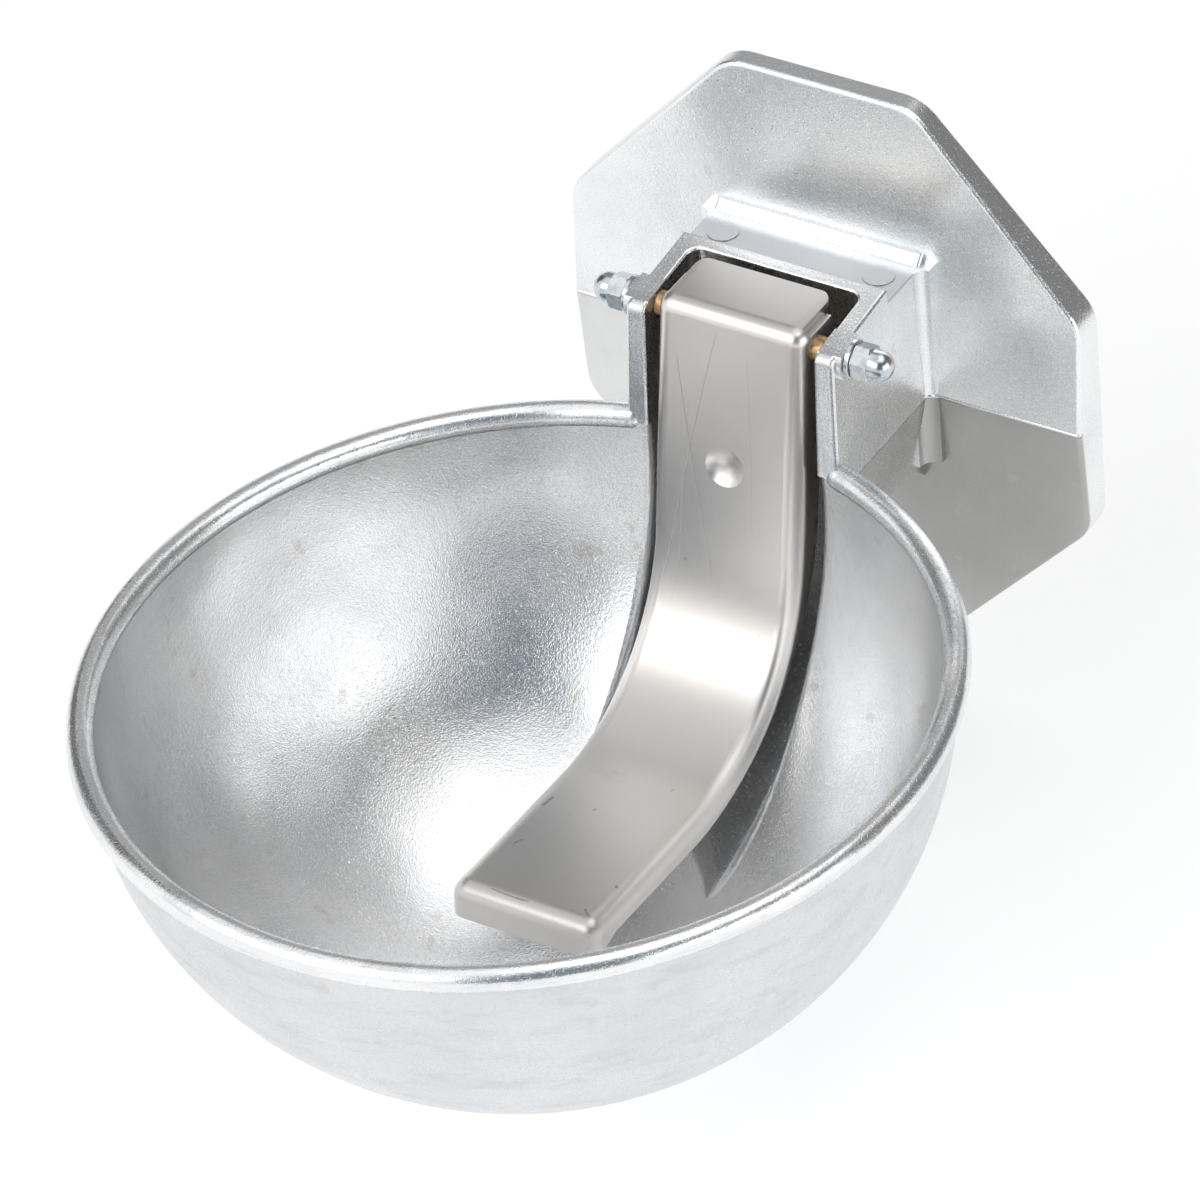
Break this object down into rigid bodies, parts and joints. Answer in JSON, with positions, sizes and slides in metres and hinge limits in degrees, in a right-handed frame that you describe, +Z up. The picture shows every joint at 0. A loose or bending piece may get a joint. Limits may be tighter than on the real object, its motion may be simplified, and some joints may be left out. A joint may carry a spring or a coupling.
{
  "type": "livestock drinking bowl",
  "caption": "Cast wall-mounted drinking bowl for livestock with an octagonal wall plate, a pressed tongue on an axle and a spring-closed water valve behind the tongue.",
  "frame": {"origin": "centre of the fixing holes' rectangle, on the wall plate's back face", "axes": "+Y into the wall, +Z up, the bowl on the -Y side, +X to the right seen from the bowl"},
  "size_m": [0.256, 0.3254, 0.216],
  "materials": {
    "cast_aluminium": "rough cast",
    "stainless_sheet": "satin",
    "stainless_bar": "bright",
    "zinc_steel": "bright zinc plating",
    "brass": "turned",
    "rubber": "matte",
    "plastic": "matte"
  },
  "bodies": {
    "casting": {"bowl_casting": "cast_aluminium", "tongue_axle": "stainless_bar", "washer_left": "zinc_steel", "washer_right": "zinc_steel", "acorn_nut_left": "zinc_steel", "acorn_nut_right": "zinc_steel", "valve_body": "brass", "valve_body_seal": "rubber", "valve_bonnet": "brass", "bonnet_o_ring": "rubber", "stem_o_ring": "rubber", "valve_seat": "plastic", "valve_spring": "stainless_bar", "inlet_strainer": "stainless_bar", "spring_circlip": "stainless_bar"},
    "tongue": {"tongue": "stainless_sheet", "bush_left": "brass", "bush_right": "brass"},
    "valve_stem": {"valve_stem": "stainless_bar", "push_cap": "plastic", "seal_disc": "rubber", "disc_carrier": "brass", "disc_nut": "brass"}
  },
  "joints": [
    {"name": "tongue_swing", "type": "hinge", "parent": "casting", "child": "tongue", "pos_m": [0, -0.057, 0.0428], "axis": [1, 0, 0], "range_deg": [0, 5.5]},
    {"name": "stem_slide", "type": "slide", "parent": "casting", "child": "valve_stem", "axis": [0, 1, 0], "range_m": [0, 0.00394], "stiffness_N_per_m": 1500, "springref_m": -0.006, "deforming": ["valve_spring"]}
  ],
  "couplings": [
    {"joint": "stem_slide", "follows": "tongue_swing", "m_per_rad": 0.04085}
  ]
}
